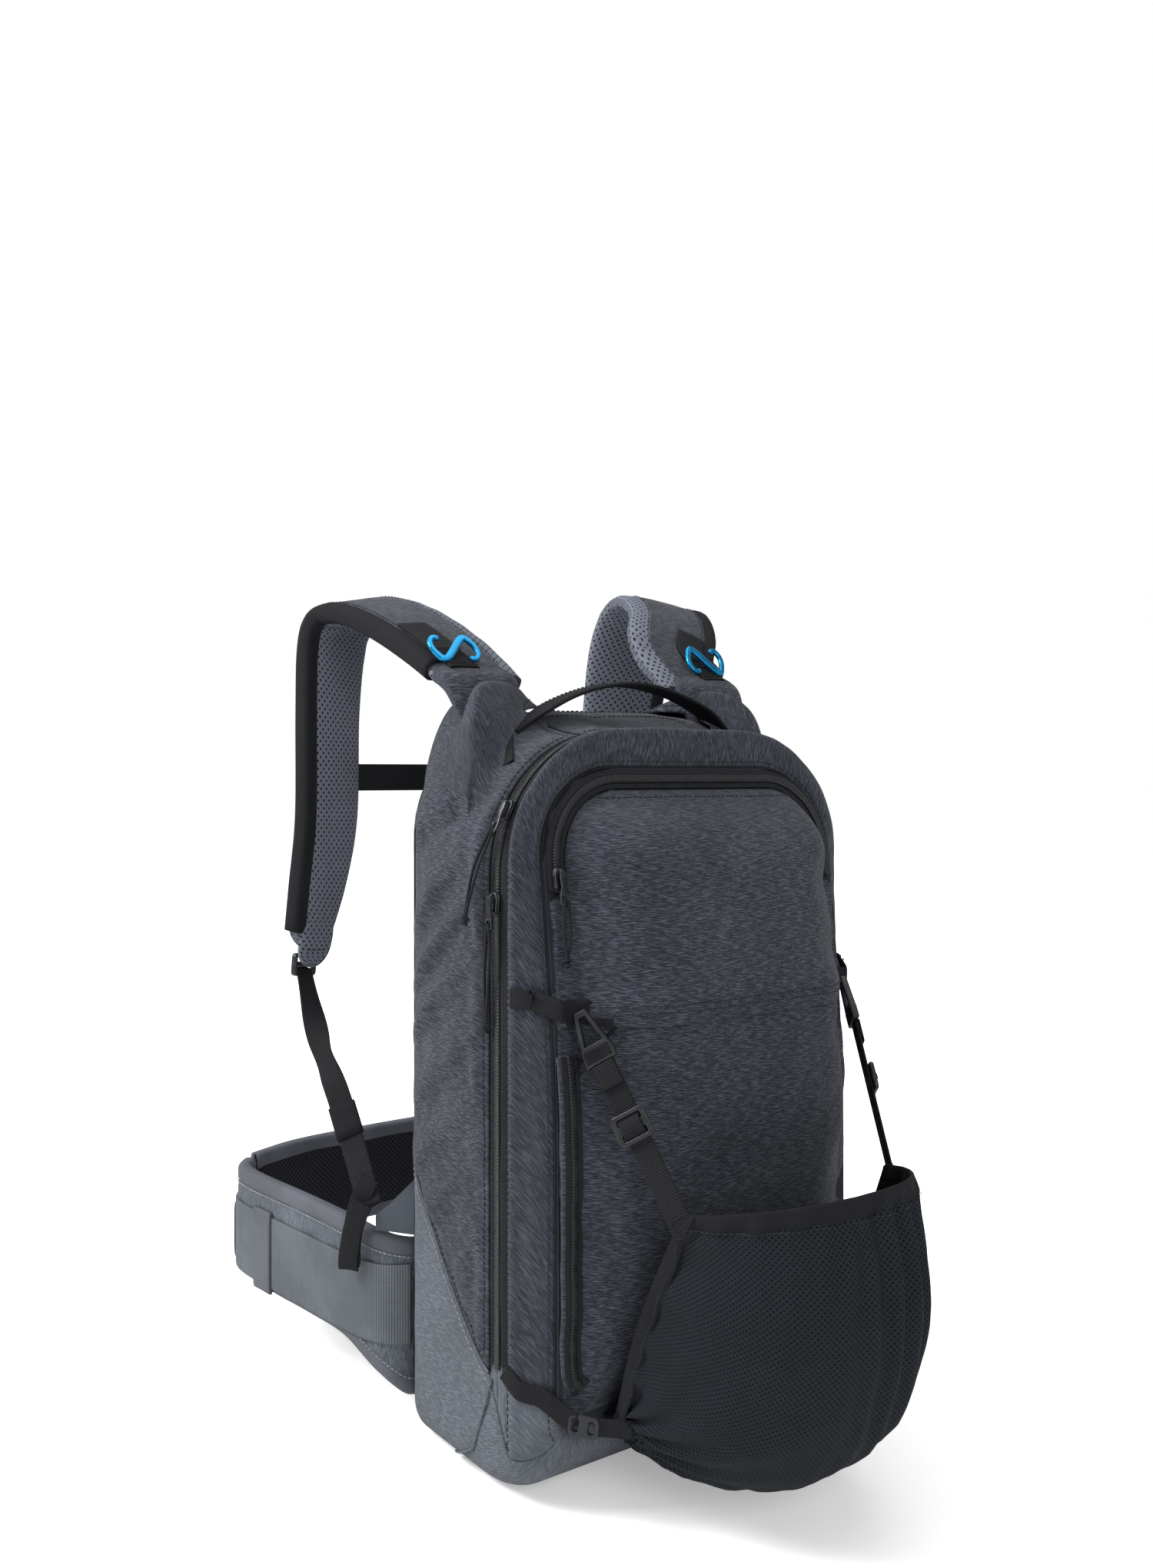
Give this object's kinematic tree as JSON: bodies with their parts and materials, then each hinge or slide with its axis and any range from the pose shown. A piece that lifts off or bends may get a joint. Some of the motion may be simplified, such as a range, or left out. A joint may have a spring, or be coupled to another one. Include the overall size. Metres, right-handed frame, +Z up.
{
  "type": "backpack",
  "caption": "Trail backpack with a zip-open front, haul handle, carrier net on hooked straps, padded shoulder straps with a chest strap, back protector and wrap-round hip belt.",
  "frame": {"origin": "middle of the flat base, on the floor", "axes": "+Z up, -Y out of the front face, +Y towards the wearer's back, +X to the right seen from the front"},
  "size_m": [0.3635, 0.5865, 0.6115],
  "materials": {
    "charcoal_cloth": "matte woven",
    "grey_cloth": "matte woven",
    "foam_mesh": "perforated foam",
    "black_webbing": "ribbed webbing",
    "zip_tape": "coated",
    "net_mesh": "stretch mesh",
    "belt_elastic": "ribbed elastic",
    "plastic": "satin",
    "blue_alloy": "anodised",
    "gunmetal": "dark plated",
    "protector_foam": "foam",
    "cord": "braided"
  },
  "bodies": {
    "pack": {"base_panel": "grey_cloth", "side_panel_left": "charcoal_cloth", "side_panel_right": "charcoal_cloth", "top_panel": "charcoal_cloth", "back_panel": "charcoal_cloth", "back_pad": "foam_mesh", "lumbar_pad": "foam_mesh", "back_protector": "protector_foam", "main_zip_tape_body": "zip_tape", "yoke_left": "charcoal_cloth", "yoke_right": "charcoal_cloth", "strap_anchor_left": "grey_cloth", "strap_anchor_right": "grey_cloth"},
    "lid": {"lid_gusset": "charcoal_cloth", "front_panel": "charcoal_cloth", "front_pocket": "charcoal_cloth", "pocket_zip_tape": "zip_tape", "lower_pocket": "charcoal_cloth", "main_zip_tape_lid": "zip_tape", "carrier_net": "net_mesh", "hook_loop_left": "black_webbing", "hook_loop_right": "black_webbing", "upper_hook_left": "plastic", "upper_hook_right": "plastic", "upper_strap_left": "black_webbing", "upper_strap_right": "black_webbing", "lower_hook_left": "plastic", "lower_hook_right": "plastic"},
    "adjuster_left": {"adjuster_left": "plastic"},
    "adjuster_right": {"adjuster_right": "plastic"},
    "slider_upper": {"main_slider_upper": "gunmetal"},
    "pull_upper": {"main_pull_upper": "gunmetal", "main_cord_upper": "cord"},
    "slider_lower": {"main_slider_lower": "gunmetal"},
    "pull_lower": {"main_pull_lower": "gunmetal", "main_cord_lower": "cord"},
    "slider_pocket": {"pocket_slider": "gunmetal"},
    "pull_pocket": {"pocket_pull": "gunmetal", "pocket_cord": "cord"},
    "harness": {"shoulder_strap_left": "foam_mesh", "shoulder_strap_right": "foam_mesh", "link_webbing_left": "black_webbing", "link_webbing_right": "black_webbing", "ladder_lock_left": "plastic", "ladder_lock_right": "plastic", "lower_webbing_left": "black_webbing", "lower_webbing_right": "black_webbing"},
    "link_left": {"strap_link_left": "blue_alloy"},
    "link_right": {"strap_link_right": "blue_alloy"},
    "sternum": {"sternum_webbing_left": "black_webbing", "sternum_webbing_right": "black_webbing", "sternum_buckle_female": "plastic"},
    "sternum_tongue": {"sternum_buckle_male": "plastic"},
    "belt_left": {"belt_wing_left": "grey_cloth", "belt_elastic_left": "belt_elastic"},
    "belt_right": {"belt_wing_right": "grey_cloth", "belt_elastic_right": "belt_elastic"},
    "handle": {"haul_handle": "black_webbing"}
  },
  "joints": [
    {"name": "front_panel_open", "type": "hinge", "parent": "pack", "child": "lid", "pos_m": [0, -0.0795, 0.054], "axis": [1, 0, 0], "range_deg": [0, 55]},
    {"name": "adjuster_left_slide", "type": "slide", "parent": "lid", "child": "adjuster_left", "axis": [-0.159, 0.5112, 0.8446], "range_m": [-0.015, 0.015]},
    {"name": "adjuster_right_slide", "type": "slide", "parent": "lid", "child": "adjuster_right", "axis": [0.222, 0.505, 0.8341], "range_m": [-0.015, 0.015]},
    {"name": "main_slider_upper_travel", "type": "hinge", "parent": "pack", "child": "slider_upper", "pos_m": [-0.048, -0.038, 0.394], "axis": [0, 1, 0], "range_deg": [0, 34]},
    {"name": "main_pull_upper_swing", "type": "hinge", "parent": "slider_upper", "child": "pull_upper", "pos_m": [-0.13671, -0.038, 0.44161], "axis": [0, 1, 0], "range_deg": [0, 140]},
    {"name": "main_slider_lower_travel", "type": "slide", "parent": "pack", "child": "slider_lower", "axis": [0, 0, -1], "range_m": [0, 0.265]},
    {"name": "main_pull_lower_swing", "type": "hinge", "parent": "slider_lower", "child": "pull_lower", "pos_m": [-0.1486, -0.038, 0.3819], "axis": [0, 1, 0], "range_deg": [0, 140]},
    {"name": "pocket_slider_travel", "type": "slide", "parent": "lid", "child": "slider_pocket", "axis": [0, 0.1303, 0.9915], "range_m": [0, 0.02]},
    {"name": "pocket_pull_swing", "type": "hinge", "parent": "slider_pocket", "child": "pull_pocket", "pos_m": [-0.119, -0.07639, 0.39843], "axis": [-1, 0, 0], "range_deg": [0, 140]},
    {"name": "harness_swing", "type": "hinge", "parent": "pack", "child": "harness", "pos_m": [0, 0.045, 0.523], "axis": [1, 0, 0], "range_deg": [-8, 12], "deforming": ["lower_webbing_left", "lower_webbing_right"]},
    {"name": "strap_link_left_tilt", "type": "hinge", "parent": "harness", "child": "link_left", "pos_m": [-0.11637, 0.05109, 0.53659], "axis": [0.9994, -0.0005, 0.0349], "range_deg": [0, 35]},
    {"name": "strap_link_right_tilt", "type": "hinge", "parent": "harness", "child": "link_right", "pos_m": [0.11088, 0.04752, 0.53707], "axis": [0.9992, 0.0395, 0.0071], "range_deg": [0, 35]},
    {"name": "sternum_height", "type": "slide", "parent": "harness", "child": "sternum", "axis": [0, 0, 1], "range_m": [0, 0.03]},
    {"name": "sternum_release", "type": "slide", "parent": "sternum", "child": "sternum_tongue", "axis": [-0.9927, 0.1205, 0], "range_m": [0, 0.03], "deforming": ["sternum_webbing_left"]},
    {"name": "belt_left_open", "type": "hinge", "parent": "pack", "child": "belt_left", "pos_m": [-0.135, 0.0932, 0.06], "axis": [0, 0, 1], "range_deg": [0, 35]},
    {"name": "belt_right_open", "type": "hinge", "parent": "pack", "child": "belt_right", "pos_m": [0.135, 0.0932, 0.06], "axis": [0, 0, -1], "range_deg": [0, 35]},
    {"name": "handle_swing", "type": "hinge", "parent": "pack", "child": "handle", "pos_m": [0, 0.01, 0.48715], "axis": [1, 0, 0], "range_deg": [-15, 15]}
  ]
}
